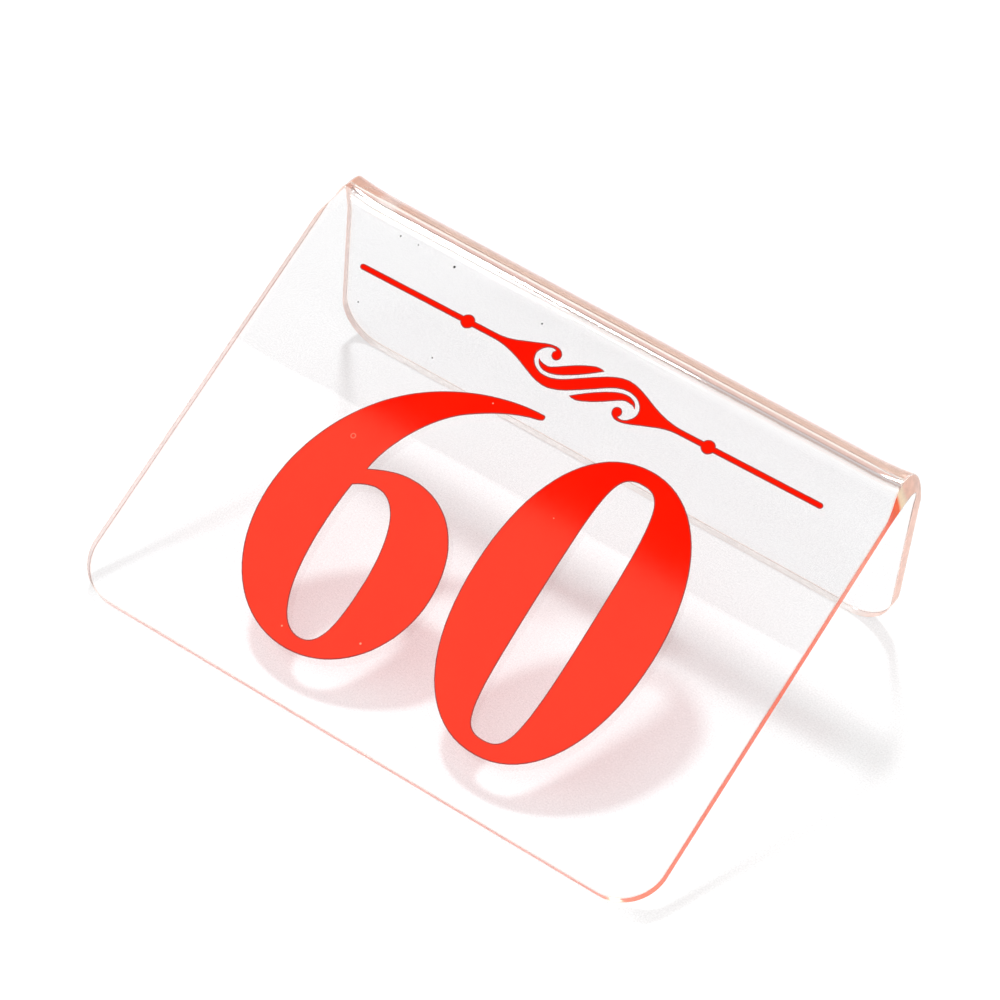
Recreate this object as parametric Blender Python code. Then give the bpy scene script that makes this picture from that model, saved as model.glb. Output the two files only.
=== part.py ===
"""Table number holder: one clear acrylic sheet, heat-bent into an uneven tent, with a red table number.

Metres, +Z up. The object stands on z = 0 on the cut ends of its two panels. X runs along the bend,
the numbered front panel faces -Y, and the origin is under the middle of the object's footprint.
The sheet is one solid. The two digits, the flourish above them and its two leaves are separate
pieces of red film on the front panel's outer face.
"""
import math

import bmesh
import bpy
from mathutils import Matrix, Vector

MM = 0.001

# Driving dimensions of the sheet
WIDTH = 120.0 * MM
THICKNESS = 3.0 * MM
FRONT_LENGTH = 84.3 * MM          # flat part of the front panel, foot to bend
FRONT_SLOPE = math.radians(27.4)  # front panel, up from the table
BACK_SLOPE = math.radians(87.4)   # back panel, up from the table
BEND_INNER_RADIUS = 3.5 * MM
CORNER_RADIUS = 8.5 * MM          # all four corners of the flat sheet

# A hot bend draws in at its outside and swells at its inside, and its two ends curl up a little
BEND_NECK = 1.6 * MM
BEND_SWELL = 0.3 * MM
BEND_CURL = 0.7 * MM
CURL_REACH = 9.5 * MM             # how far in from each end the curl is felt
FRONT_RUN_OUT = 5.5 * MM          # how far into each flat panel the drawing-in is felt
BACK_RUN_OUT = 2.5 * MM

# Fineness of the round stretches
BEND_STEPS = 12
RUN_OUT_STEPS = 3
CORNER_STEPS = 7
END_COLUMNS = 4

# Driving dimensions of the red film
FILM_THICKNESS = 0.15 * MM
FILM_GAP = 0.3 * MM               # clearance between the film and the sheet
ART_CENTRE_X = 0.9 * MM           # flourish's centre, sideways from the sheet's middle
ART_CENTRE_UP = 76.05 * MM        # flourish's centre, up the panel from its foot
ART_SKEW = math.radians(1.0)      # the film was laid on slightly turned
BASELINE = -66.8 * MM             # foot of the digits, below the flourish's centre
SIX_X = -21.4 * MM                # middle of the six, sideways from the flourish's centre
ZERO_X = 18.6 * MM                # middle of the zero
DIGIT_STEPS = 12
ORNAMENT_STEPS = 6

# Outline sizes below are in millimetres
ZERO_HALF_WIDTH = 18.2
ZERO_HALF_HEIGHT = 29.2
ZERO_PULLS = (0.61, 0.59)         # handle length over half size, left and right: 0.55 is an ellipse
COUNTER_HALF_WIDTH = 5.4
COUNTER_HALF_HEIGHT = 26.2
COUNTER_PULLS = (0.89, 0.86)
BAR_HALF_WIDTH = 0.57
BAR_HALF_LENGTH = 48.1
BEAD_RADIUS = 1.35
BEAD_X = 25.0
WEDGE_START_X = 19.5
CURL_BALL_X = -7.5
CURL_BALL_Y = 2.0
CURL_BALL_RADIUS = 0.95


def clear_scene():
    for obj in list(bpy.data.objects):
        bpy.data.objects.remove(obj, do_unlink=True)


def make_material(name, colour, roughness, metallic=0.0, transmission=0.0):
    material = bpy.data.materials.new(name)
    material.use_nodes = True
    shader = material.node_tree.nodes["Principled BSDF"]
    shader.inputs["Base Color"].default_value = (*colour, 1.0)
    shader.inputs["Roughness"].default_value = roughness
    shader.inputs["Metallic"].default_value = metallic
    shader.inputs["Transmission Weight"].default_value = transmission
    material.diffuse_color = (*colour, 1.0)
    return material


# ---------------------------------------------------------------- the bent sheet

OUTER_RADIUS = BEND_INNER_RADIUS + THICKNESS


def side_direction(angle):
    """Outward normal in the side view, for an angle from straight up towards the back."""
    return Vector((0.0, math.sin(angle), math.cos(angle)))


FRONT_NORMAL = side_direction(-FRONT_SLOPE)
BACK_NORMAL = side_direction(BACK_SLOPE)
FRONT_DOWN = Vector((0.0, -math.cos(FRONT_SLOPE), -math.sin(FRONT_SLOPE)))
BACK_DOWN = Vector((0.0, math.cos(BACK_SLOPE), -math.sin(BACK_SLOPE)))


def place_bend_centre():
    """Height that puts the front foot on the table, and depth that centres the footprint."""
    height = FRONT_LENGTH * math.sin(FRONT_SLOPE) - BEND_INNER_RADIUS * math.cos(FRONT_SLOPE)
    back_length = (height + BEND_INNER_RADIUS * math.cos(BACK_SLOPE)) / math.sin(BACK_SLOPE)
    front_most = (OUTER_RADIUS * FRONT_NORMAL + FRONT_LENGTH * FRONT_DOWN).y
    back_most = (OUTER_RADIUS * BACK_NORMAL + back_length * BACK_DOWN).y
    return Vector((0.0, -0.5 * (front_most + back_most), height)), back_length


BEND_CENTRE, BACK_LENGTH = place_bend_centre()


def bell(share):
    """0 at both ends of a stretch, 1 in its middle."""
    return math.sin(math.pi * share) ** 2 if 0.0 < share < 1.0 else 0.0


def bend_stations():
    """Side-view stations from the front panel over the bend to the back panel.

    Each is the normal's angle, the way down the panel from the bend, how much the sheet's ends are
    drawn in there, and how much they curl up.
    """
    turn = FRONT_SLOPE + BACK_SLOPE
    arc = (BEND_INNER_RADIUS + THICKNESS / 2) * turn
    whole = FRONT_RUN_OUT + arc + BACK_RUN_OUT
    steps = range(RUN_OUT_STEPS)
    stations = []
    for way in [FRONT_RUN_OUT * (1.0 - step / RUN_OUT_STEPS) for step in steps]:
        stations.append((-FRONT_SLOPE, way, bell((FRONT_RUN_OUT - way) / whole), 0.0))
    for step in range(BEND_STEPS + 1):
        share = step / BEND_STEPS
        drawn_in = bell((FRONT_RUN_OUT + arc * share) / whole)
        stations.append((turn * share - FRONT_SLOPE, 0.0, drawn_in, bell(share)))
    for way in [BACK_RUN_OUT * (step + 1) / RUN_OUT_STEPS for step in steps]:
        stations.append((BACK_SLOPE, way, bell((whole - BACK_RUN_OUT + way) / whole), 0.0))
    return stations


def column_fractions():
    """Sideways places of the bend's mesh columns, closer together near the two ends."""
    reach = CURL_REACH / (WIDTH / 2)
    steps = [1.0 - reach * index / END_COLUMNS for index in range(END_COLUMNS + 1)]
    return [-value for value in steps] + list(reversed(steps))


def bend_point(station, fraction, radius, neck):
    """A point of the bend, with the curl that lifts its two ends."""
    angle, way, drawn_in, curled = station
    inward = (1.0 - abs(fraction)) * (WIDTH / 2)
    curl = BEND_CURL * max(0.0, 1.0 - inward / CURL_REACH) ** 2 * curled
    down = FRONT_DOWN if angle < 0.0 else BACK_DOWN
    point = BEND_CENTRE + (radius + curl) * side_direction(angle) + way * down
    point.x = fraction * (WIDTH / 2 - neck * drawn_in)
    return point


def panel_corner(side, foot, up, start_angle, end_angle):
    """Arc of a rounded sheet corner; angles run from straight sideways (0) to straight down (90)."""
    points = []
    for index in range(CORNER_STEPS + 1):
        angle = start_angle + (end_angle - start_angle) * index / CORNER_STEPS
        sideways = WIDTH / 2 - CORNER_RADIUS + CORNER_RADIUS * math.cos(angle)
        height = CORNER_RADIUS - CORNER_RADIUS * math.sin(angle)
        points.append(foot + height * up + Vector((side * sideways, 0.0, 0.0)))
    return points


def foot_outline(normal, down, length, radius, first_side):
    """Both rounded corners of one panel's foot, starting from first_side (-1 left, +1 right)."""
    foot = BEND_CENTRE + radius * normal + length * down
    quarter = math.pi / 2
    return (panel_corner(first_side, foot, -down, 0.0, quarter)
            + panel_corner(-first_side, foot, -down, quarter, 0.0))


def add_skin(bm, radius, neck):
    """One face of the sheet (outer or inner): two flat panels joined by the bend's grid.

    Returns the vertices round its rim, in order from the front foot's left corner.
    """
    fractions = column_fractions()
    rows = []
    for station in bend_stations():
        rows.append([bm.verts.new(bend_point(station, fraction, radius, neck))
                     for fraction in fractions])
    front = [bm.verts.new(point)
             for point in foot_outline(FRONT_NORMAL, FRONT_DOWN, FRONT_LENGTH, radius, -1)]
    back = [bm.verts.new(point)
            for point in foot_outline(BACK_NORMAL, BACK_DOWN, BACK_LENGTH, radius, 1)]
    bm.faces.new(front + list(reversed(rows[0])))
    bm.faces.new(back + rows[-1])
    for lower, upper in zip(rows, rows[1:]):
        for index in range(len(fractions) - 1):
            bm.faces.new((lower[index], lower[index + 1], upper[index + 1], upper[index]))
    right_side = [row[-1] for row in rows]
    left_side = [row[0] for row in reversed(rows)]
    return front + right_side + back + left_side


def make_sheet(material):
    bm = bmesh.new()
    outer_rim = add_skin(bm, OUTER_RADIUS, BEND_NECK)
    inner_rim = add_skin(bm, BEND_INNER_RADIUS, -BEND_SWELL)
    for index in range(len(outer_rim)):
        following = (index + 1) % len(outer_rim)
        bm.faces.new((outer_rim[index], inner_rim[index],
                      inner_rim[following], outer_rim[following]))
    bmesh.ops.recalc_face_normals(bm, faces=bm.faces)
    mesh = bpy.data.meshes.new("acrylic_sheet")
    bm.to_mesh(mesh)
    bm.free()
    mesh.shade_smooth()
    mesh.set_sharp_from_angle(angle=math.radians(35.0))
    mesh.materials.append(material)
    sheet = bpy.data.objects.new("acrylic_sheet", mesh)
    bpy.context.collection.objects.link(sheet)
    return sheet


# ---------------------------------------------------------------- outlines of the red film

def knot(x, y, heading, before, after, leaving=None):
    """A point of an outline with its direction of travel in degrees, and its two handle lengths.

    A corner also gives the direction in which the outline leaves it.
    """
    arrive = math.radians(heading)
    leave = math.radians(heading if leaving is None else leaving)
    point = Vector((x, y, 0.0))
    incoming = point - before * Vector((math.cos(arrive), math.sin(arrive), 0.0))
    outgoing = point + after * Vector((math.cos(leave), math.sin(leave), 0.0))
    return incoming, point, outgoing


def half_turn(knots):
    """The same stretch of outline, turned by 180 degrees about the flourish's centre."""
    return [tuple(-place for place in triple) for triple in knots]


def oval(centre_y, half_width, half_height, pulls):
    """Closed oval through its four extreme points; the larger a side's pull, the squarer it is."""
    left, right = pulls
    return [
        knot(0.0, centre_y + half_height, 180, right * half_width, left * half_width),
        knot(-half_width, centre_y, 270, left * half_height, left * half_height),
        knot(0.0, centre_y - half_height, 0, left * half_width, right * half_width),
        knot(half_width, centre_y, 90, right * half_height, right * half_height),
    ]


def zero_outlines():
    middle = ZERO_HALF_HEIGHT - 0.1
    return [
        oval(middle, ZERO_HALF_WIDTH, ZERO_HALF_HEIGHT, ZERO_PULLS),
        oval(middle, COUNTER_HALF_WIDTH, COUNTER_HALF_HEIGHT, COUNTER_PULLS),
    ]


def six_outlines():
    body = [
        knot(17.9, 58.2, 180, 0.35, 8.9),                  # top of the blunt tail
        knot(-4.5, 50.9, 216, 7.0, 9.3),                   # shoulder
        knot(-18.4, 23.2, 270, 12.0, 13.3),                # left side
        knot(0.7, -0.1, 0, 10.8, 10.2),                    # foot
        knot(18.4, 19.5, 90, 10.4, 10.2),                  # right side of the bowl
        knot(3.6, 36.9, 180, 8.6, 3.4),                    # top of the bowl
        knot(-4.5, 34.75, 205, 2.2, 6.5, leaving=83),      # notch under the tail
        knot(5.5, 51.6, 34, 5.5, 4.6),                     # underside of the tail
        knot(17.5, 56.9, 10, 4.2, 0.4),
        knot(18.35, 57.6, 90, 0.35, 0.35),                 # tail's end
    ]
    counter = [
        knot(-5.3, 31.0, 83, 2.9, 1.4, leaving=35),        # its sharp upper corner
        knot(-1.0, 32.5, 0, 1.4, 4.6),
        knot(6.4, 15.7, 270, 10.4, 9.2),
        knot(1.7, 2.8, 180, 3.5, 4.7),
        knot(-5.8, 22.2, 90, 11.9, 3.0),
    ]
    return [body, counter]


def bead(centre_x):
    """Upper half of a bead on the bar, passed from right to left."""
    half_angle = math.asin(BAR_HALF_WIDTH / BEAD_RADIUS)
    offset = BEAD_RADIUS * math.cos(half_angle)
    handle = 4.0 / 3.0 * math.tan((math.pi / 2 - half_angle) / 4) * BEAD_RADIUS
    tilt = math.degrees(half_angle)
    return [
        knot(centre_x + offset, BAR_HALF_WIDTH, 180, 0.0, handle, leaving=90 + tilt),
        knot(centre_x, BEAD_RADIUS, 180, handle, handle),
        knot(centre_x - offset, BAR_HALF_WIDTH, 270 - tilt, handle, 0.0, leaving=180),
    ]


def curl_ball():
    """The ball that ends the curl, from its notch round its underside to its right side."""
    notch_angle = 130.0
    notch = math.radians(notch_angle)
    first = 4.0 / 3.0 * math.tan(math.radians(180.0 - notch_angle) / 4) * CURL_BALL_RADIUS
    quarter = 4.0 / 3.0 * math.tan(math.radians(90.0) / 4) * CURL_BALL_RADIUS
    notch_x = CURL_BALL_X + CURL_BALL_RADIUS * math.cos(notch)
    notch_y = CURL_BALL_Y + CURL_BALL_RADIUS * math.sin(notch)
    return [
        knot(notch_x, notch_y, 335, 0.3, first, leaving=notch_angle + 90),
        knot(CURL_BALL_X - CURL_BALL_RADIUS, CURL_BALL_Y, 270, first, quarter),
        knot(CURL_BALL_X, CURL_BALL_Y - CURL_BALL_RADIUS, 0, quarter, quarter),
        knot(CURL_BALL_X + CURL_BALL_RADIUS, CURL_BALL_Y, 90, quarter, 0.8),
    ]


def scroll_outlines():
    """The flourish looks the same after half a turn, so half of its outline is drawn."""
    cap = BAR_HALF_WIDTH * 0.55
    half = [knot(BAR_HALF_LENGTH, 0.0, 90, cap, cap),
            knot(BAR_HALF_LENGTH - BAR_HALF_WIDTH, BAR_HALF_WIDTH, 180, cap, 0.0)]
    half += bead(BEAD_X)
    half += [
        knot(WEDGE_START_X, BAR_HALF_WIDTH, 180, 0.0, 5.8),
        knot(6.5, 4.03, 180, 3.7, 2.6),                    # crest of the S
        knot(-1.5, 0.4, 212, 3.0, 2.6),                    # its slanting middle
        knot(-7.4, -2.17, 180, 2.2, 1.9),                  # trough under the curl
        knot(-10.9, 0.65, 90, 1.55, 1.0),                  # back of the curl
        knot(-8.75, 2.85, 0, 1.0, 0.3),                    # inside of the curl's top
    ]
    half += curl_ball()
    half += [
        knot(-8.3, 3.45, 180, 0.9, 1.7),                   # outside of the curl's top
        knot(-13.3, 1.97, 199, 2.2, 2.4),
        knot(-WEDGE_START_X, BAR_HALF_WIDTH, 180, 3.0, 0.0),
    ]
    half += bead(-BEAD_X)
    half += [knot(BAR_HALF_WIDTH - BAR_HALF_LENGTH, BAR_HALF_WIDTH, 180, 0.0, cap)]
    return [half + half_turn(half)]


def leaf_outlines():
    return [[
        knot(-10.0, 0.2, 130, 0.7, 1.0, leaving=280),      # left tip
        knot(-7.5, -1.55, 0, 1.5, 1.5),
        knot(-2.9, 0.23, 30, 1.8, 1.8),
        knot(1.62, 3.4, 38, 1.5, 0.4, leaving=150),        # right tip
        knot(0.3, 3.62, 182, 0.6, 0.7),
        knot(-3.9, 1.8, 210, 2.0, 1.9),
        knot(-8.0, -0.43, 180, 0.9, 0.6),
    ]]


# ---------------------------------------------------------------- the red film's pieces

def film_curve(name, outlines, steps, material):
    """A flat piece of film: filled outlines with counters, thickened along the panel's normal."""
    curve = bpy.data.curves.new(name, "CURVE")
    curve.dimensions = "2D"
    curve.fill_mode = "BOTH"
    curve.extrude = FILM_THICKNESS / 2
    curve.resolution_u = steps
    curve.materials.append(material)
    for outline in outlines:
        spline = curve.splines.new("BEZIER")
        spline.bezier_points.add(len(outline) - 1)
        for point, (incoming, place, outgoing) in zip(spline.bezier_points, outline):
            point.handle_left_type = "FREE"
            point.handle_right_type = "FREE"
            point.co = place * MM
            point.handle_left = incoming * MM
            point.handle_right = outgoing * MM
        spline.use_cyclic_u = True
        spline.resolution_u = steps
    return curve


def place_film(name, curve, art_frame, x=0.0, y=0.0, turn=0.0):
    piece = bpy.data.objects.new(name, curve)
    piece.parent = art_frame
    piece.location = (x, y, FILM_GAP + FILM_THICKNESS / 2)
    piece.rotation_euler = (0.0, 0.0, turn)
    bpy.context.collection.objects.link(piece)
    return piece


def make_art_frame():
    """Empty on the front panel's outer face: X along the lettering, Y up the panel, Z outwards."""
    foot = BEND_CENTRE + OUTER_RADIUS * FRONT_NORMAL + FRONT_LENGTH * FRONT_DOWN
    place = foot - ART_CENTRE_UP * FRONT_DOWN + Vector((ART_CENTRE_X, 0.0, 0.0))
    lean = Matrix.Rotation(FRONT_SLOPE, 4, "X")
    skew = Matrix.Rotation(ART_SKEW, 4, "Z")
    frame = bpy.data.objects.new("art_frame", None)
    frame.matrix_world = Matrix.Translation(place) @ lean @ skew
    bpy.context.collection.objects.link(frame)
    return frame


def make_artwork(material):
    frame = make_art_frame()
    six = film_curve("digit_6", six_outlines(), DIGIT_STEPS, material)
    zero = film_curve("digit_0", zero_outlines(), DIGIT_STEPS, material)
    scroll = film_curve("ornament_scroll", scroll_outlines(), ORNAMENT_STEPS, material)
    leaf = film_curve("ornament_leaf", leaf_outlines(), ORNAMENT_STEPS, material)
    place_film("digit_6", six, frame, x=SIX_X, y=BASELINE)
    place_film("digit_0", zero, frame, x=ZERO_X, y=BASELINE)
    place_film("ornament_scroll", scroll, frame)
    place_film("ornament_leaf_left", leaf, frame)
    place_film("ornament_leaf_right", leaf, frame, turn=math.pi)


def main():
    clear_scene()
    clear_acrylic = make_material("clear_acrylic", (0.95, 0.96, 0.96), 0.05, transmission=1.0)
    red_film = make_material("red_film", (0.95, 0.02, 0.004), 0.3)
    make_sheet(clear_acrylic)
    make_artwork(red_film)
    bpy.context.view_layer.update()


main()
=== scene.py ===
"""Looks of the table number holder: clear heat-bent acrylic with a red film number, on a white table.

The CAD frame gives the place and size of every piece. The sheet is rebuilt here with polished,
rounded edges and a finer bend, and the film lies directly on it, cut a little unevenly.
"""
import math

import bmesh
import bpy
from mathutils import Matrix, Vector, noise
from mathutils.geometry import interpolate_bezier


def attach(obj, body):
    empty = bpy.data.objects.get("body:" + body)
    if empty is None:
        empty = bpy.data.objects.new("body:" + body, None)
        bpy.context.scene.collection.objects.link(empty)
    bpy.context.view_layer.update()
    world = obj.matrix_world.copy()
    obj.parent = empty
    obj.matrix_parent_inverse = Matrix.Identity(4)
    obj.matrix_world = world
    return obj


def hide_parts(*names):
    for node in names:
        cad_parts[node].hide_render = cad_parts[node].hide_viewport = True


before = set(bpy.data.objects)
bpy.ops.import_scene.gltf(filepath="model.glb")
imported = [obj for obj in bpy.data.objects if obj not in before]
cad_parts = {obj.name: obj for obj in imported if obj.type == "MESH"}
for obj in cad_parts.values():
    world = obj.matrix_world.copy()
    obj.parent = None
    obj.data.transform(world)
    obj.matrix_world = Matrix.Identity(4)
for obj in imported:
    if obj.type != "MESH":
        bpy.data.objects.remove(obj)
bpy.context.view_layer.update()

MM = 0.001

# The sheet, as in the CAD part
WIDTH = 120.0 * MM
THICKNESS = 3.0 * MM
FRONT_LENGTH = 84.3 * MM
FRONT_SLOPE = math.radians(27.4)
BACK_SLOPE = math.radians(87.4)
BEND_INNER_RADIUS = 3.5 * MM
CORNER_RADIUS = 8.5 * MM
BEND_NECK = 1.6 * MM
BEND_SWELL = 0.3 * MM
BEND_CURL = 0.7 * MM
CURL_REACH = 9.5 * MM
FRONT_RUN_OUT = 5.5 * MM
BACK_RUN_OUT = 2.5 * MM

# Only in the visual model
EDGE_ROUNDING = 0.20 * MM
BEND_STEPS = 40
RUN_OUT_STEPS = 8
CORNER_STEPS = 24
END_COLUMNS = 16
MIDDLE_COLUMNS = 30

# The red film, as in the CAD part; outlines are in millimetres
ART_CENTRE_X = 0.9 * MM
ART_CENTRE_UP = 76.05 * MM
ART_SKEW = math.radians(1.0)
BASELINE = -66.8
SIX_X = -21.4
ZERO_X = 18.6
ZERO_HALF_WIDTH = 18.2
ZERO_HALF_HEIGHT = 29.2
ZERO_PULLS = (0.61, 0.59)
COUNTER_HALF_WIDTH = 5.4
COUNTER_HALF_HEIGHT = 26.2
COUNTER_PULLS = (0.89, 0.86)
BAR_HALF_WIDTH = 0.57
BAR_HALF_LENGTH = 48.1
BEAD_RADIUS = 1.35
BEAD_X = 25.0
WEDGE_START_X = 19.5
CURL_BALL_X = -7.5
CURL_BALL_Y = 2.0
CURL_BALL_RADIUS = 0.95

# Only in the visual model
CURVE_STEPS = 20
FILM_HEIGHT = 0.10
RIM_HEIGHT = 0.07
RIM_WIDTH = 0.20                  # a thin band along the outline, darker than the film's face
FILM_SUNK = 0.01                  # keeps the film in optical contact with the sheet
CUT_WOBBLE = 0.03                 # unevenness of the cut outline
WOBBLE_SCALES = (1.7, 5.0)        # waves per millimetre of the slow and the quick unevenness
FINEST_STEP = 0.25                # spacing of points on the short stretches of an outline
WELD = 0.0005                     # corners closer than this are joined

# How the materials treat light. Each PASSES value is the share of lamp light, or of the room's
# light, that one surface lets straight through
ACRYLIC_IOR = 1.49
FILM_IOR = 1.5
PASSES_ROOM_LIGHT = (0.955, 0.950, 0.950, 1.0)
PASSES_FACE = (0.965, 0.966, 0.968, 1.0)
PASSES_BEND = (0.44, 0.42, 0.42, 1.0)
PASSES_RIM = (0.40, 0.36, 0.35, 1.0)
PASSES_FOOT_RIM = (0.92, 0.91, 0.91, 1.0)
PASSES_FILM = (0.75, 0.42, 0.42, 1.0)
RIM_GLOW_SHARE = 0.45
FILM_GLOW_SHARE = 0.12

# Places of the painted glow on the sheet
FOOT_REACH = 4.0 * MM             # how far back the front foot's clear rim goes
GLOW_FRONT = 1.0 * MM             # the bend's painted glow starts this far in front of its centre
GLOW_BACK = 6.5 * MM
GLOW_BREAK = (-52.5 * MM, -51.0 * MM, -49.0 * MM, -47.5 * MM)

# Marks
BUBBLE_RADIUS = 0.50 * MM
BUBBLE_HOLLOW = 0.34 * MM

# Lamps and camera, in metres and watts
SUN_WIDTH = math.radians(8.0)
SHEET_SUN_FROM = (-0.45, 0.58, 1.0)
SHEET_SUN_ENERGY = 1.42
FILM_SUN_FROM = (-0.46, 0.33, 1.0)
FILM_SUN_ENERGY = 1.26
SOFTBOX_X = -0.50
SOFTBOX_Y = -0.76
SOFTBOX_HEIGHT = 1.0
SOFTBOX_ENERGY = 7.2
SOFTBOX_SIZE = (1.6, 1.0)
FILL_FROM = (1.2, -0.6, 0.25)
FILL_ENERGY = 12.0
FILL_SIZE = 0.8
DIM_PATCH_TOWARD = (-0.32, -0.20, 0.92)
BRIGHT_WALL_TOWARD = (-0.30, 0.85, 0.25)
FLOOR_HALF_SIZE = 6.0
CAMERA_PLACE = (0.22832, -0.42110, 0.53976)
CAMERA_TURN = tuple(math.radians(angle) for angle in (42.831, -5.296, 34.128))
CAMERA_LENS = 145.84
CAMERA_SENSOR = 36.0
BOUNCES = 24
GLOSSY_BOUNCES = 12

# ---------------------------------------------------------------- the sheet's shape

OUTER_RADIUS = BEND_INNER_RADIUS + THICKNESS
TURN = FRONT_SLOPE + BACK_SLOPE
ARC = (BEND_INNER_RADIUS + THICKNESS / 2) * TURN


def side_direction(angle):
    """The direction across the sheet, turned by an angle from straight up toward the back."""
    return Vector((0.0, math.sin(angle), math.cos(angle)))


FRONT_NORMAL = side_direction(-FRONT_SLOPE)
BACK_NORMAL = side_direction(BACK_SLOPE)
FRONT_DOWN = Vector((0.0, -math.cos(FRONT_SLOPE), -math.sin(FRONT_SLOPE)))
BACK_DOWN = Vector((0.0, math.cos(BACK_SLOPE), -math.sin(BACK_SLOPE)))
BEND_HEIGHT = FRONT_LENGTH * math.sin(FRONT_SLOPE) - BEND_INNER_RADIUS * math.cos(FRONT_SLOPE)
BACK_LENGTH = (BEND_HEIGHT + BEND_INNER_RADIUS * math.cos(BACK_SLOPE)) / math.sin(BACK_SLOPE)
FRONT_MOST = (OUTER_RADIUS * FRONT_NORMAL + FRONT_LENGTH * FRONT_DOWN).y
BACK_MOST = (OUTER_RADIUS * BACK_NORMAL + BACK_LENGTH * BACK_DOWN).y
BEND_CENTRE = Vector((0.0, -0.5 * (FRONT_MOST + BACK_MOST), BEND_HEIGHT))
FRONT_FOOT = BEND_CENTRE + OUTER_RADIUS * FRONT_NORMAL + FRONT_LENGTH * FRONT_DOWN


def panel_point(x_mm, up_mm):
    """A place on the front panel's outer face, from its middle and its foot, in millimetres."""
    return FRONT_FOOT - up_mm * MM * FRONT_DOWN + Vector((x_mm * MM, 0.0, 0.0))


def bell(share):
    """A smooth rise and fall between 0 and 1."""
    return math.sin(math.pi * share) ** 2 if 0.0 < share < 1.0 else 0.0


def bend_stations():
    """Steps from front to back over the bend: turn, way down a panel, drawing-in, curl."""
    whole = FRONT_RUN_OUT + ARC + BACK_RUN_OUT
    stations = []
    for step in range(RUN_OUT_STEPS):
        way = FRONT_RUN_OUT * (1.0 - step / RUN_OUT_STEPS)
        stations.append((-FRONT_SLOPE, way, bell((FRONT_RUN_OUT - way) / whole), 0.0))
    for step in range(BEND_STEPS + 1):
        share = step / BEND_STEPS
        drawn_in = bell((FRONT_RUN_OUT + ARC * share) / whole)
        stations.append((TURN * share - FRONT_SLOPE, 0.0, drawn_in, bell(share)))
    for step in range(RUN_OUT_STEPS):
        way = BACK_RUN_OUT * (step + 1) / RUN_OUT_STEPS
        stations.append((BACK_SLOPE, way, bell((whole - BACK_RUN_OUT + way) / whole), 0.0))
    return stations


def column_fractions():
    """Places across the sheet, from -1 to 1, closer together at its ends."""
    reach = CURL_REACH / (WIDTH / 2)
    steps = [1.0 - reach * index / END_COLUMNS for index in range(END_COLUMNS)]
    inner = 1.0 - reach
    middle = [-inner + 2.0 * inner * index / MIDDLE_COLUMNS for index in range(MIDDLE_COLUMNS + 1)]
    return [-value for value in steps] + middle + list(reversed(steps))


def bend_point(station, fraction, radius, neck):
    """A point of the skin at one step over the bend and one place across it."""
    angle, way, drawn_in, curled = station
    inward = (1.0 - abs(fraction)) * (WIDTH / 2)
    curl = BEND_CURL * max(0.0, 1.0 - inward / CURL_REACH) ** 2 * curled
    down = FRONT_DOWN if angle < 0.0 else BACK_DOWN
    point = BEND_CENTRE + (radius + curl) * side_direction(angle) + way * down
    point.x = fraction * (WIDTH / 2 - neck * drawn_in)
    return point


def foot_outline(normal, down, length, radius, first_side):
    """A panel's foot with its two rounded corners."""
    foot = BEND_CENTRE + radius * normal + length * down
    points = []
    for side, order in ((first_side, 1), (-first_side, -1)):
        arc = []
        for index in range(CORNER_STEPS + 1):
            angle = math.pi / 2 * index / CORNER_STEPS
            sideways = WIDTH / 2 - CORNER_RADIUS + CORNER_RADIUS * math.cos(angle)
            height = CORNER_RADIUS - CORNER_RADIUS * math.sin(angle)
            arc.append(foot - height * down + Vector((side * sideways, 0.0, 0.0)))
        points += arc[::order]
    return points


def add_skin(bm, radius, neck, slots, bend_slot):
    """One face of the sheet, outer or inner; gives back its rim as a ring of corners."""
    fractions = column_fractions()
    rows = [[bm.verts.new(bend_point(station, fraction, radius, neck)) for fraction in fractions]
            for station in bend_stations()]
    front = [bm.verts.new(point)
             for point in foot_outline(FRONT_NORMAL, FRONT_DOWN, FRONT_LENGTH, radius, -1)]
    back = [bm.verts.new(point)
            for point in foot_outline(BACK_NORMAL, BACK_DOWN, BACK_LENGTH, radius, 1)]
    bm.faces.new(front + list(reversed(rows[0]))).material_index = slots["face"]
    bm.faces.new(back + rows[-1]).material_index = slots["face"]
    for number, (lower, upper) in enumerate(zip(rows, rows[1:])):
        in_bend = RUN_OUT_STEPS <= number < RUN_OUT_STEPS + BEND_STEPS
        for index in range(len(fractions) - 1):
            face = bm.faces.new((lower[index], lower[index + 1], upper[index + 1], upper[index]))
            face.material_index = slots[bend_slot] if in_bend else slots["face"]
    return front + [row[-1] for row in rows] + back + [row[0] for row in reversed(rows)]


def make_sheet(materials):
    """The sheet as one closed solid, its rim rounded as polishing leaves it."""
    slots = {name: index for index, name in enumerate(materials)}
    bm = bmesh.new()
    outer_rim = add_skin(bm, OUTER_RADIUS, BEND_NECK, slots, "bend")
    inner_rim = add_skin(bm, BEND_INNER_RADIUS, -BEND_SWELL, slots, "bend_inside")
    count = len(outer_rim)
    for index in range(count):
        following = (index + 1) % count
        face = bm.faces.new((outer_rim[index], inner_rim[index],
                             inner_rim[following], outer_rim[following]))
        face.material_index = slots["edge"]
    bmesh.ops.recalc_face_normals(bm, faces=bm.faces)
    mesh = bpy.data.meshes.new("sheet")
    bm.to_mesh(mesh)
    bm.free()
    for material in materials.values():
        mesh.materials.append(material)
    mesh.shade_smooth()
    sheet = bpy.data.objects.new("sheet", mesh)
    bpy.context.collection.objects.link(sheet)
    rounding = sheet.modifiers.new("rounded_edges", "BEVEL")
    rounding.width = EDGE_ROUNDING
    rounding.segments = 4
    rounding.limit_method = "ANGLE"
    rounding.angle_limit = math.radians(50.0)
    rounding.harden_normals = True
    rounding.material = slots["rounding"]
    return sheet


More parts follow.
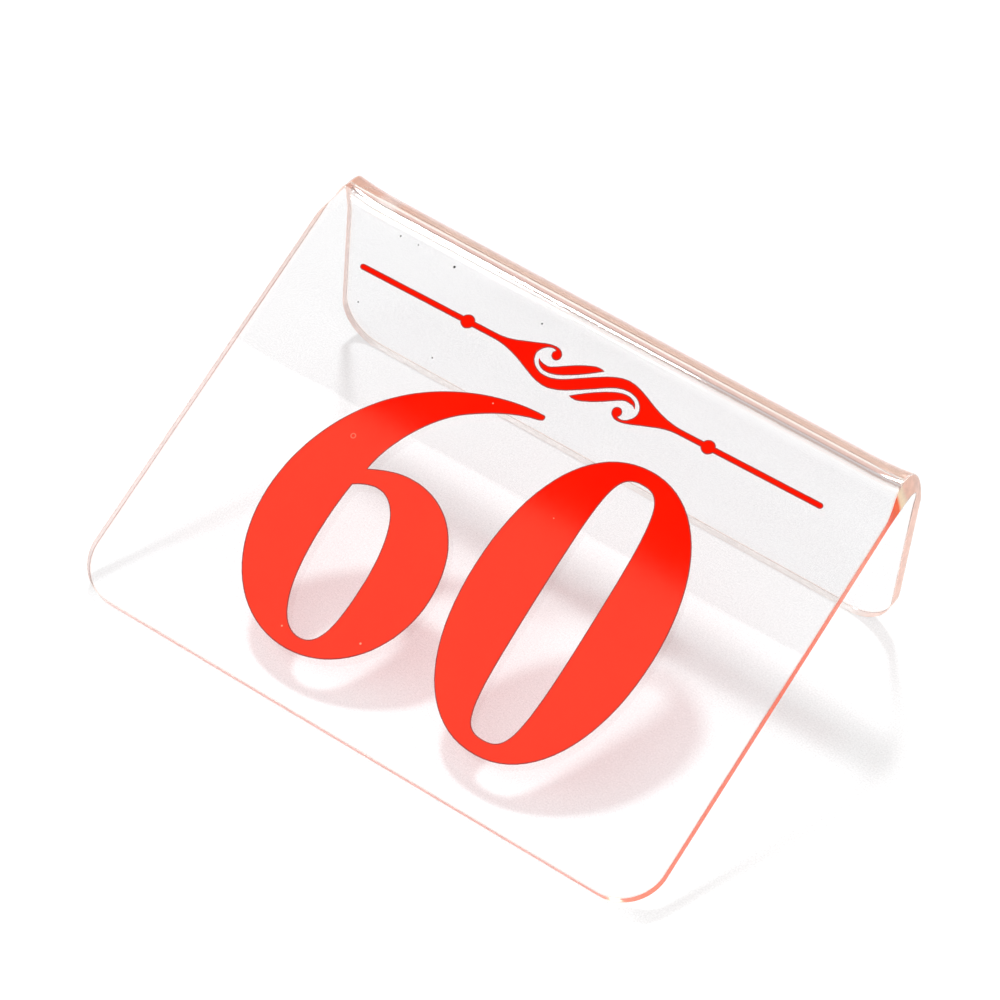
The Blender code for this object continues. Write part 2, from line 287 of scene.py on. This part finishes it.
# ---------------------------------------------------------------- the film's outlines

def knot(x, y, heading, before, after, leaving=None):
    """A point of an outline with its two handles, headings in degrees."""
    arrive = math.radians(heading)
    leave = math.radians(heading if leaving is None else leaving)
    point = Vector((x, y, 0.0))
    incoming = point - before * Vector((math.cos(arrive), math.sin(arrive), 0.0))
    outgoing = point + after * Vector((math.cos(leave), math.sin(leave), 0.0))
    return incoming, point, outgoing


def half_turn(knots):
    """The same knots turned by half a turn about the middle."""
    return [tuple(-place for place in triple) for triple in knots]


def moved(outlines, x, y):
    shift = Vector((x, y, 0.0))
    return [[tuple(place + shift for place in triple) for triple in outline]
            for outline in outlines]


def oval(centre_y, half_width, half_height, pulls):
    left, right = pulls
    return [
        knot(0.0, centre_y + half_height, 180, right * half_width, left * half_width),
        knot(-half_width, centre_y, 270, left * half_height, left * half_height),
        knot(0.0, centre_y - half_height, 0, left * half_width, right * half_width),
        knot(half_width, centre_y, 90, right * half_height, right * half_height),
    ]


def zero_outlines():
    middle = ZERO_HALF_HEIGHT - 0.1
    return [
        oval(middle, ZERO_HALF_WIDTH, ZERO_HALF_HEIGHT, ZERO_PULLS),
        oval(middle, COUNTER_HALF_WIDTH, COUNTER_HALF_HEIGHT, COUNTER_PULLS),
    ]


def six_outlines():
    body = [
        knot(17.9, 58.2, 180, 0.35, 8.9),
        knot(-4.5, 50.9, 216, 7.0, 9.3),
        knot(-18.4, 23.2, 270, 12.0, 13.3),
        knot(0.7, -0.1, 0, 10.8, 10.2),
        knot(18.4, 19.5, 90, 10.4, 10.2),
        knot(3.6, 36.9, 180, 8.6, 3.4),
        knot(-4.5, 34.75, 205, 2.2, 6.5, leaving=83),
        knot(5.5, 51.6, 34, 5.5, 4.6),
        knot(17.5, 56.9, 10, 4.2, 0.4),
        knot(18.35, 57.6, 90, 0.35, 0.35),
    ]
    counter = [
        knot(-5.3, 31.0, 83, 2.9, 1.4, leaving=35),
        knot(-1.0, 32.5, 0, 1.4, 4.6),
        knot(6.4, 15.7, 270, 10.4, 9.2),
        knot(1.7, 2.8, 180, 3.5, 4.7),
        knot(-5.8, 22.2, 90, 11.9, 3.0),
    ]
    return [body, counter]


def bead(centre_x):
    """The upper half of a bar's bead."""
    half_angle = math.asin(BAR_HALF_WIDTH / BEAD_RADIUS)
    offset = BEAD_RADIUS * math.cos(half_angle)
    handle = 4.0 / 3.0 * math.tan((math.pi / 2 - half_angle) / 4) * BEAD_RADIUS
    tilt = math.degrees(half_angle)
    return [
        knot(centre_x + offset, BAR_HALF_WIDTH, 180, 0.0, handle, leaving=90 + tilt),
        knot(centre_x, BEAD_RADIUS, 180, handle, handle),
        knot(centre_x - offset, BAR_HALF_WIDTH, 270 - tilt, handle, 0.0, leaving=180),
    ]


def curl_ball():
    """The ball at the end of the scroll's curl."""
    notch_angle = 130.0
    notch = math.radians(notch_angle)
    first = 4.0 / 3.0 * math.tan(math.radians(180.0 - notch_angle) / 4) * CURL_BALL_RADIUS
    quarter = 4.0 / 3.0 * math.tan(math.radians(90.0) / 4) * CURL_BALL_RADIUS
    notch_x = CURL_BALL_X + CURL_BALL_RADIUS * math.cos(notch)
    notch_y = CURL_BALL_Y + CURL_BALL_RADIUS * math.sin(notch)
    return [
        knot(notch_x, notch_y, 335, 0.3, first, leaving=notch_angle + 90),
        knot(CURL_BALL_X - CURL_BALL_RADIUS, CURL_BALL_Y, 270, first, quarter),
        knot(CURL_BALL_X, CURL_BALL_Y - CURL_BALL_RADIUS, 0, quarter, quarter),
        knot(CURL_BALL_X + CURL_BALL_RADIUS, CURL_BALL_Y, 90, quarter, 0.8),
    ]


def scroll_outlines():
    cap = BAR_HALF_WIDTH * 0.55
    half = [knot(BAR_HALF_LENGTH, 0.0, 90, cap, cap),
            knot(BAR_HALF_LENGTH - BAR_HALF_WIDTH, BAR_HALF_WIDTH, 180, cap, 0.0)]
    half += bead(BEAD_X)
    half += [
        knot(WEDGE_START_X, BAR_HALF_WIDTH, 180, 0.0, 5.8),
        knot(6.5, 4.03, 180, 3.7, 2.6),
        knot(-1.5, 0.4, 212, 3.0, 2.6),
        knot(-7.4, -2.17, 180, 2.2, 1.9),
        knot(-10.9, 0.65, 90, 1.55, 1.0),
        knot(-8.75, 2.85, 0, 1.0, 0.3),
    ]
    half += curl_ball()
    half += [
        knot(-8.3, 3.45, 180, 0.9, 1.7),
        knot(-13.3, 1.97, 199, 2.2, 2.4),
        knot(-WEDGE_START_X, BAR_HALF_WIDTH, 180, 3.0, 0.0),
    ]
    half += bead(-BEAD_X)
    half += [knot(BAR_HALF_WIDTH - BAR_HALF_LENGTH, BAR_HALF_WIDTH, 180, 0.0, cap)]
    return [half + half_turn(half)]


def leaf_outlines():
    return [[
        knot(-10.0, 0.2, 130, 0.7, 1.0, leaving=280),
        knot(-7.5, -1.55, 0, 1.5, 1.5),
        knot(-2.9, 0.23, 30, 1.8, 1.8),
        knot(1.62, 3.4, 38, 1.5, 0.4, leaving=150),
        knot(0.3, 3.62, 182, 0.6, 0.7),
        knot(-3.9, 1.8, 210, 2.0, 1.9),
        knot(-8.0, -0.43, 180, 0.9, 0.6),
    ]]


# ---------------------------------------------------------------- the film's solids

def outline_points(knots):
    """The outline as closely spaced points, with the small wobble of a cut film."""
    points = []
    for first, second in zip(knots, knots[1:] + knots[:1]):
        length = (second[1] - first[1]).length
        steps = max(3, min(CURVE_STEPS, int(length / FINEST_STEP)))
        points += interpolate_bezier(first[1], first[2], second[0], second[1], steps + 1)[:-1]
    wobbled = []
    count = len(points)
    slow, quick = WOBBLE_SCALES
    for index, point in enumerate(points):
        along = points[(index + 1) % count] - points[index - 1]
        outward = Vector((along.y, -along.x, 0.0)).normalized()
        rough = noise.noise(point * slow) + 0.5 * noise.noise(point * quick)
        wobbled.append(point + CUT_WOBBLE * rough * outward)
    return wobbled


def inset(points, distance, hole):
    """The outline moved into the film, which lies outside a hole's outline."""
    count = len(points)
    area = sum(points[index - 1].x * points[index].y - points[index].x * points[index - 1].y
               for index in range(count))
    side = distance if (area > 0.0) != hole else -distance
    result = []
    for index, point in enumerate(points):
        before = (point - points[index - 1]).normalized()
        after = (points[(index + 1) % count] - point).normalized()
        along = before + after
        if along.length < 0.3:
            along = after
        along.normalize()
        result.append(point + side * Vector((-along.y, along.x, 0.0)))
    return result


def flat_solid(name, outlines, bottom, top):
    """A closed plate between two heights, with holes where outlines lie inside each other."""
    curve = bpy.data.curves.new(name, "CURVE")
    curve.dimensions = "2D"
    curve.fill_mode = "BOTH"
    curve.extrude = (top - bottom) / 2
    for points in outlines:
        spline = curve.splines.new("POLY")
        spline.points.add(len(points) - 1)
        for target, point in zip(spline.points, points):
            target.co = (point.x, point.y, 0.0, 1.0)
        spline.use_cyclic_u = True
    helper = bpy.data.objects.new(name, curve)
    bpy.context.collection.objects.link(helper)
    depsgraph = bpy.context.evaluated_depsgraph_get()
    mesh = bpy.data.meshes.new_from_object(helper.evaluated_get(depsgraph))
    mesh.transform(Matrix.Translation((0.0, 0.0, (top + bottom) / 2)))
    bpy.data.objects.remove(helper, do_unlink=True)
    bpy.data.curves.remove(curve)
    return mesh


ART_MATRIX = (Matrix.Translation(panel_point(ART_CENTRE_X / MM, ART_CENTRE_UP / MM))
              @ Matrix.Rotation(FRONT_SLOPE, 4, "X")
              @ Matrix.Rotation(ART_SKEW, 4, "Z")
              @ Matrix.Scale(MM, 4))


def film_point(x_mm, up_mm):
    """A place on the film, in the artwork's own slightly turned frame, in millimetres."""
    return ART_MATRIX @ Vector((x_mm - ART_CENTRE_X / MM, up_mm - ART_CENTRE_UP / MM, FILM_HEIGHT))


def film_piece(name, outlines, face_material, rim_material):
    """A film piece: a thin base whose edge shows as a dark line, and the red face on it."""
    cut = [outline_points(outline) for outline in outlines]
    base = flat_solid(name + "_base", cut, -FILM_SUNK, RIM_HEIGHT)
    inner = [inset(points, RIM_WIDTH, number > 0) for number, points in enumerate(cut)]
    face = flat_solid(name + "_face", inner, 0.0, FILM_HEIGHT)
    bm = bmesh.new()
    bm.from_mesh(base)
    for polygon in bm.faces:
        polygon.material_index = 1
    bm.from_mesh(face)
    bmesh.ops.remove_doubles(bm, verts=bm.verts, dist=WELD)
    bmesh.ops.recalc_face_normals(bm, faces=bm.faces)
    mesh = bpy.data.meshes.new(name)
    bm.to_mesh(mesh)
    bm.free()
    bpy.data.meshes.remove(base)
    bpy.data.meshes.remove(face)
    mesh.transform(ART_MATRIX)
    mesh.materials.append(face_material)
    mesh.materials.append(rim_material)
    piece = bpy.data.objects.new(name, mesh)
    bpy.context.collection.objects.link(piece)
    return piece


# ---------------------------------------------------------------- materials

class Nodes:
    """Shorthand for building the nodes of one material or world."""

    def __init__(self, owner):
        owner.use_nodes = True
        self.owner = owner
        self.tree = owner.node_tree
        self.tree.nodes.clear()

    def add(self, kind, inputs=None, **settings):
        node = self.tree.nodes.new("ShaderNode" + kind)
        for key, value in settings.items():
            setattr(node, key, value)
        for key, value in (inputs or {}).items():
            if isinstance(value, bpy.types.NodeSocket):
                self.tree.links.new(value, node.inputs[key])
            else:
                node.inputs[key].default_value = value
        return node

    def math(self, operation, first, second):
        return self.add("Math", {0: first, 1: second}, operation=operation).outputs[0]

    def noise(self, scale, detail):
        where = self.add("TexCoord").outputs["Object"]
        node = self.add("TexNoise", {"Vector": where, "Scale": scale, "Detail": detail})
        return node.outputs["Fac"]

    def place(self):
        """The place on the object, split into X, Y and Z."""
        return self.add("SeparateXYZ", {0: self.add("TexCoord").outputs["Object"]}).outputs

    def remap(self, value, start, end, low=0.0, high=1.0):
        """The value carried from start...end to low...high, and held at both ends."""
        return self.add("MapRange", {"Value": value, "From Min": start, "From Max": end,
                                     "To Min": low, "To Max": high}).outputs[0]

    def blend(self, share, first, second):
        return self.add("MixRGB", {0: share, 1: first, 2: second}).outputs[0]

    def ramp(self, value, stops):
        """A colour ramp through (place, colour) stops."""
        node = self.add("ValToRGB", {"Fac": value})
        elements = node.color_ramp.elements
        elements.remove(elements[1])
        elements[0].position = stops[0][0]
        elements[0].color = (*stops[0][1], 1.0)
        for place, colour in stops[1:]:
            elements.new(place).color = (*colour, 1.0)
        return node.outputs[0]

    def spots(self, places, softness=0.35):
        """1 inside any of the (point, radius) spots, 0 outside."""
        where = self.add("TexCoord").outputs["Object"]
        total = None
        for point, radius in places:
            distance = self.add("VectorMath", {0: where, 1: tuple(point)},
                                operation="DISTANCE").outputs["Value"]
            spot = self.remap(distance, radius * (1 + softness), radius * (1 - softness))
            total = spot if total is None else self.math("MAXIMUM", total, spot)
        return total

    def output(self, shader):
        self.add("OutputMaterial", {"Surface": shader})
        return self.owner


def new_material(name):
    """The nodes of a new material."""
    return Nodes(bpy.data.materials.new(name))


# Specks of dust on the sheet, and marks in the film
DUST = [
    (panel_point(-32.0, 83.2), 0.26 * MM),
    (panel_point(-43.9, 83.5), 0.17 * MM),
    (panel_point(-40.1, 83.6), 0.13 * MM),
    (panel_point(-43.6, 69.1), 0.15 * MM),
    (panel_point(-25.9, 66.7), 0.14 * MM),
    (panel_point(-12.2, 81.7), 0.18 * MM),
    (panel_point(-30.0, 22.5), 0.14 * MM),
]
BUBBLE = film_point(-30.6, 48.0)
PINHOLES = [
    (film_point(-8.6, 16.3), 0.18 * MM),
    (film_point(-22.6, 12.3), 0.15 * MM),
    (film_point(-11.8, 65.0), 0.14 * MM),
    (film_point(9.0, 52.0), 0.12 * MM),
]


def lamp_light(nodes, surface, passed):
    """Lets lamp light and the room's light through by a share, so that no light is counted twice."""
    path = nodes.add("LightPath")
    opened = nodes.add("BsdfTransparent", {"Color": passed})
    around = nodes.add("BsdfTransparent", {"Color": PASSES_ROOM_LIGHT})
    first = nodes.add("MixShader", {0: path.outputs["Is Diffuse Ray"], 1: surface,
                                    2: around.outputs[0]})
    second = nodes.add("MixShader", {0: path.outputs["Is Shadow Ray"], 1: first.outputs[0],
                                     2: opened.outputs[0]})
    return second.outputs[0]


def rim_shade(nodes):
    """How much lamp light the sheet's rim lets by: little, but nearly all at the front foot."""
    foot = nodes.remap(nodes.place()["Y"], FRONT_FOOT.y, FRONT_FOOT.y + FOOT_REACH)
    return nodes.blend(foot, PASSES_FOOT_RIM, PASSES_RIM)


def clear_acrylic(name, roughness, passed, bump_scale, bump_depth, colour_of=None):
    """Clear acrylic: bends what is seen through it."""
    nodes = new_material(name)
    fine = nodes.noise(bump_scale, 3.0)
    bump = nodes.add("Bump", {"Height": fine, "Strength": 1.0, "Distance": bump_depth})
    smudges = nodes.noise(60.0, 4.0)
    glass = nodes.add("BsdfPrincipled", {
        "Base Color": colour_of(nodes) if colour_of else (0.99, 0.99, 0.99, 1.0),
        "Roughness": nodes.remap(smudges, 0.35, 0.75, roughness * 0.6, roughness * 1.6),
        "IOR": ACRYLIC_IOR, "Transmission Weight": 1.0, "Normal": bump.outputs[0]})
    return nodes.output(lamp_light(nodes, glass.outputs[0], passed or rim_shade(nodes)))


def speckled(nodes):
    """Nearly clear, with a fine haze and the specks of dust."""
    haze = nodes.ramp(nodes.noise(3600.0, 1.0), [(0.30, (0.940, 0.940, 0.945)),
                                                 (0.70, (0.992, 0.992, 0.994))])
    return nodes.blend(nodes.spots(DUST), haze, (0.01, 0.008, 0.006, 1.0))


def painted_pink_glow(nodes):
    """Painted glow: the film's red light, piped through the sheet, shown faintly in the rim's rounded
    edges.
    """
    cloud = nodes.noise(300.0, 2.0)
    return nodes.ramp(cloud, [(0.3, (0.96, 0.66, 0.56)), (0.7, (0.98, 0.78, 0.70))])


def painted_bend_glow_and_highlights(nodes):
    """Painted glow of the film's red, piped along the top of the bend, in streaks that follow it,
    paler at one place, with painted white and cream highlight strips.
    """
    place = nodes.place()
    across = nodes.remap(place["Y"], BEND_CENTRE.y - GLOW_FRONT, BEND_CENTRE.y + GLOW_BACK)
    # painted glow in the brownish-red bands, painted highlights in the white and cream strips
    streaks = nodes.ramp(across, [
        (0.070, (0.99, 0.99, 0.99)), (0.085, (0.62, 0.34, 0.28)), (0.190, (0.68, 0.38, 0.31)),
        (0.205, (1.0, 0.94, 0.84)), (0.255, (1.0, 0.95, 0.86)), (0.270, (0.74, 0.41, 0.29)),
        (0.450, (0.77, 0.45, 0.33)), (0.610, (0.75, 0.43, 0.34)), (0.650, (0.68, 0.38, 0.34)),
        (0.690, (0.94, 0.76, 0.72)), (0.900, (0.96, 0.84, 0.80))])
    start, full, fading, end = GLOW_BREAK
    rising = nodes.remap(place["X"], start, full)
    falling = nodes.remap(place["X"], end, fading)
    pale = nodes.math("MULTIPLY", nodes.math("MINIMUM", rising, falling), 0.7)
    return nodes.blend(pale, streaks, (1.0, 0.92, 0.86, 1.0))


def painted_rim_glow_and_highlight(nodes):
    """Painted glow along the rim, the film's red piped through the sheet: strongest on the right, at
    the bend's foot, and pale at the back, with a painted cream highlight where the right rim meets
    the bend.
    """
    place = nodes.place()
    across = nodes.remap(place["X"], -WIDTH / 2, WIDTH / 2)
    along = nodes.remap(place["Y"], FRONT_FOOT.y, -FRONT_FOOT.y)
    front = nodes.ramp(across, [(0.0, (0.88, 0.70, 0.66)), (0.15, (0.84, 0.46, 0.40)),
                                (0.85, (0.86, 0.38, 0.31)), (0.96, (0.94, 0.26, 0.17))])
    behind = nodes.remap(place["Y"], 0.0, 1.0 * MM)
    foot = nodes.blend(behind, front, (0.96, 0.91, 0.88, 1.0))
    # painted cream highlight between 0.882 and 0.896, where the right rim meets the bend
    right = nodes.ramp(along, [
        (0.0, (0.98, 0.20, 0.11)), (0.55, (0.99, 0.15, 0.07)), (0.72, (0.98, 0.28, 0.18)),
        (0.80, (0.98, 0.20, 0.10)), (0.850, (1.0, 0.08, 0.015)), (0.876, (1.0, 0.13, 0.03)),
        (0.882, (1.0, 0.76, 0.50)), (0.896, (1.0, 0.80, 0.60)), (0.905, (0.93, 0.58, 0.46)),
        (1.0, (0.90, 0.60, 0.51))])
    left = nodes.ramp(along, [(0.0, (0.93, 0.79, 0.76)), (0.80, (0.94, 0.76, 0.71)),
                              (0.90, (0.94, 0.58, 0.46)), (1.0, (0.96, 0.80, 0.75))])
    with_right = nodes.blend(nodes.remap(across, 0.93, 0.99), foot, right)
    return nodes.blend(nodes.remap(across, 0.07, 0.01), with_right, left)


def polished_edge():
    """The sheet's rim, which gathers the film's red; that glow and a highlight are painted into its
    colour.
    """
    nodes = new_material("polished_edge")
    streaks = nodes.noise(900.0, 3.0)
    shade = nodes.remap(streaks, 0.3, 0.7, 0.90, 1.06)
    varied = nodes.add("VectorMath", {0: painted_rim_glow_and_highlight(nodes), "Scale": shade}, operation="SCALE")
    bump = nodes.add("Bump", {"Height": streaks, "Strength": 1.0, "Distance": 0.00004})
    shader = nodes.add("BsdfPrincipled", {
        "Base Color": varied.outputs[0], "Roughness": 0.25, "IOR": ACRYLIC_IOR,
        "Transmission Weight": 0.15, "Normal": bump.outputs[0]})
    through = nodes.add("BsdfTranslucent", {"Color": varied.outputs[0]})
    mixed = nodes.add("MixShader", {0: RIM_GLOW_SHARE, 1: shader.outputs[0],
                                    2: through.outputs[0]})
    return nodes.output(lamp_light(nodes, mixed.outputs[0], rim_shade(nodes)))


def seen_through(nodes, surface):
    """The film stops most lamp light and passes a little red."""
    glow = nodes.add("BsdfTranslucent", {"Color": (0.98, 0.10, 0.08, 1.0)})
    lit = nodes.add("MixShader", {0: FILM_GLOW_SHARE, 1: surface, 2: glow.outputs[0]})
    path = nodes.add("LightPath")
    opened = nodes.add("BsdfTransparent", {"Color": PASSES_FILM})
    return nodes.add("MixShader", {0: path.outputs["Is Shadow Ray"], 1: lit.outputs[0],
                                   2: opened.outputs[0]}).outputs[0]


def red_face():
    """The film's face: warm satin red with faint mottling, a bubble ring and a few pinholes."""
    nodes = new_material("red_film_face")
    mottle = nodes.ramp(nodes.noise(90.0, 4.0), [(0.3, (0.97, 0.0060, 0.0004)),
                                                 (0.7, (0.99, 0.0100, 0.0006))])
    outer = nodes.spots([(BUBBLE, BUBBLE_RADIUS)], 0.15)
    inner = nodes.spots([(BUBBLE, BUBBLE_HOLLOW)], 0.15)
    ring = nodes.math("MULTIPLY", nodes.math("SUBTRACT", outer, inner), 0.5)
    marks = nodes.math("MAXIMUM", ring, nodes.spots(PINHOLES))
    bump = nodes.add("Bump", {"Height": nodes.noise(2500.0, 3.0), "Strength": 0.15,
                              "Distance": 0.00001})
    shader = nodes.add("BsdfPrincipled", {
        "Base Color": nodes.blend(marks, mottle, (1.0, 0.36, 0.25, 1.0)),
        "Roughness": nodes.remap(nodes.noise(400.0, 3.0), 0.0, 1.0, 0.04, 0.07),
        "IOR": FILM_IOR, "Specular Tint": (1.0, 1.0, 0.6, 1.0), "Normal": bump.outputs[0]})
    return nodes.output(seen_through(nodes, shader.outputs[0]))


def red_rim():
    """A thin band along the film's outline, darker than its face."""
    nodes = new_material("red_film_edge")
    tone = nodes.ramp(nodes.noise(700.0, 3.0), [(0.0, (0.22, 0.010, 0.006)),
                                                (1.0, (0.40, 0.03, 0.02))])
    shader = nodes.add("BsdfPrincipled", {"Base Color": tone, "Roughness": 0.45})
    return nodes.output(seen_through(nodes, shader.outputs[0]))


def table_white():
    """White card with a fine tooth."""
    nodes = new_material("table_white")
    tone = nodes.ramp(nodes.noise(8.0, 4.0), [(0.0, (0.89, 0.89, 0.89)), (1.0, (0.90, 0.90, 0.90))])
    tooth = nodes.noise(3200.0, 2.0)
    shade = nodes.remap(tooth, 0.3, 0.7, 0.92, 1.08)
    grainy = nodes.add("VectorMath", {0: tone, "Scale": shade}, operation="SCALE")
    bump = nodes.add("Bump", {"Height": tooth, "Strength": 0.2, "Distance": 0.00005})
    shader = nodes.add("BsdfPrincipled", {"Base Color": grainy.outputs[0], "Roughness": 0.9,
                                          "Specular IOR Level": 0.1, "Normal": bump.outputs[0]})
    return nodes.output(shader.outputs[0])


# ---------------------------------------------------------------- table, lamps and camera

def make_floor():
    """A wide white table."""
    mesh = bpy.data.meshes.new("floor")
    bm = bmesh.new()
    bmesh.ops.create_grid(bm, x_segments=4, y_segments=4, size=FLOOR_HALF_SIZE)
    bm.to_mesh(mesh)
    bm.free()
    mesh.materials.append(table_white())
    floor = bpy.data.objects.new("floor", mesh)
    bpy.context.collection.objects.link(floor)
    return floor


def aim(obj, target):
    direction = Vector(target) - obj.location
    obj.rotation_euler = direction.to_track_quat("-Z", "Y").to_euler()


def make_lamp(name, kind, place, target, energy, **settings):
    data = bpy.data.lights.new(name, kind)
    data.energy = energy
    for key, value in settings.items():
        setattr(data, key, value)
    lamp = bpy.data.objects.new(name, data)
    lamp.location = place
    bpy.context.collection.objects.link(lamp)
    aim(lamp, target)
    lamp.visible_camera = False
    return lamp


def shade_from(lamp, blockers):
    """Only these pieces stop the lamp: the sheet shifts the light that reaches the film's shadow."""
    collection = bpy.data.collections.new(lamp.name + "_blockers")
    for blocker in blockers:
        collection.objects.link(blocker)
    lamp.light_linking.blocker_collection = collection


def toward_ramp(nodes, direction, start, end, greys):
    """Goes from the first grey to the second as the view turns toward a direction."""
    where = nodes.add("TexCoord").outputs["Generated"]
    toward = nodes.add("VectorMath", {0: where, 1: Vector(direction).normalized()},
                       operation="DOT_PRODUCT").outputs["Value"]
    first, second = greys
    return nodes.ramp(toward, [(start, (first, first, first)), (end, (second, second, second))])


def make_world():
    """A pale room: a bright wall behind the sign, and one dim patch overhead in front of it."""
    world = bpy.data.worlds.new("studio")
    nodes = Nodes(world)
    patch = toward_ramp(nodes, DIM_PATCH_TOWARD, 0.945, 0.975, (1.0, 0.12))
    wall = toward_ramp(nodes, BRIGHT_WALL_TOWARD, 0.55, 0.90, (0.16, 0.66))
    light = nodes.add("MixRGB", {0: 1.0, 1: patch, 2: wall}, blend_type="MULTIPLY")
    background = nodes.add("Background", {"Color": light.outputs[0], "Strength": 1.0})
    nodes.add("OutputWorld", {"Surface": background.outputs[0]})
    bpy.context.scene.world = world


def make_camera():
    """A long lens from above, in front and to the right."""
    data = bpy.data.cameras.new("camera")
    data.sensor_width = CAMERA_SENSOR
    data.lens = CAMERA_LENS
    data.clip_start = 0.01
    camera = bpy.data.objects.new("camera", data)
    camera.location = CAMERA_PLACE
    camera.rotation_euler = CAMERA_TURN
    bpy.context.collection.objects.link(camera)
    bpy.context.scene.camera = camera


def sheet_materials():
    """The sheet's materials by the part of its surface that each one covers."""
    return {
        "face": clear_acrylic("clear_acrylic", 0.01, PASSES_FACE, 30.0, 0.00001, speckled),
        "bend": clear_acrylic("clear_bend", 0.02, PASSES_BEND, 220.0, 0.00003, painted_bend_glow_and_highlights),
        "bend_inside": clear_acrylic("clear_bend_inside", 0.02, PASSES_BEND, 220.0, 0.00003),
        "edge": polished_edge(),
        "rounding": clear_acrylic("clear_rounding", 0.04, None, 900.0, 0.00002, painted_pink_glow),
    }


def film_outlines():
    """The film's outlines by the CAD node that each piece stands for."""
    return {
        "digit_6": moved(six_outlines(), SIX_X, BASELINE),
        "digit_0": moved(zero_outlines(), ZERO_X, BASELINE),
        "ornament_scroll": scroll_outlines(),
        "ornament_leaf_left": leaf_outlines(),
        "ornament_leaf_right": [half_turn(outline) for outline in leaf_outlines()],
    }


def make_lamps(sheet, films):
    """Two suns close together, one stopped by the sheet and one by the film, and two softboxes."""
    middle = (0.0, 0.0, 0.0)
    key = make_lamp("key", "SUN", SHEET_SUN_FROM, middle, SHEET_SUN_ENERGY, angle=SUN_WIDTH)
    key_for_film = make_lamp("key_film", "SUN", FILM_SUN_FROM, middle, FILM_SUN_ENERGY,
                             angle=SUN_WIDTH)
    shade_from(key, [sheet])
    shade_from(key_for_film, films)
    make_lamp("softbox", "AREA", (SOFTBOX_X, SOFTBOX_Y, SOFTBOX_HEIGHT),
              (SOFTBOX_X, SOFTBOX_Y, 0.0), SOFTBOX_ENERGY,
              shape="RECTANGLE", size=SOFTBOX_SIZE[0], size_y=SOFTBOX_SIZE[1])
    make_lamp("fill", "AREA", FILL_FROM, (0.0, 0.0, 20 * MM), FILL_ENERGY,
              shape="SQUARE", size=FILL_SIZE)


def main():
    scene = bpy.context.scene
    scene.view_settings.view_transform = "Standard"
    scene.cycles.max_bounces = BOUNCES
    scene.cycles.transmission_bounces = BOUNCES
    scene.cycles.glossy_bounces = GLOSSY_BOUNCES
    scene.cycles.transparent_max_bounces = BOUNCES

    sheet = make_sheet(sheet_materials())
    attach(sheet, "root")
    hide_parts("acrylic_sheet")
    face = red_face()
    rim = red_rim()
    films = []
    for node, outlines in film_outlines().items():
        piece = film_piece("film_" + node, outlines, face, rim)
        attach(piece, "root")
        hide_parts(node)
        films.append(piece)

    floor = make_floor()
    make_world()
    make_lamps(sheet, films)
    make_camera()


main()
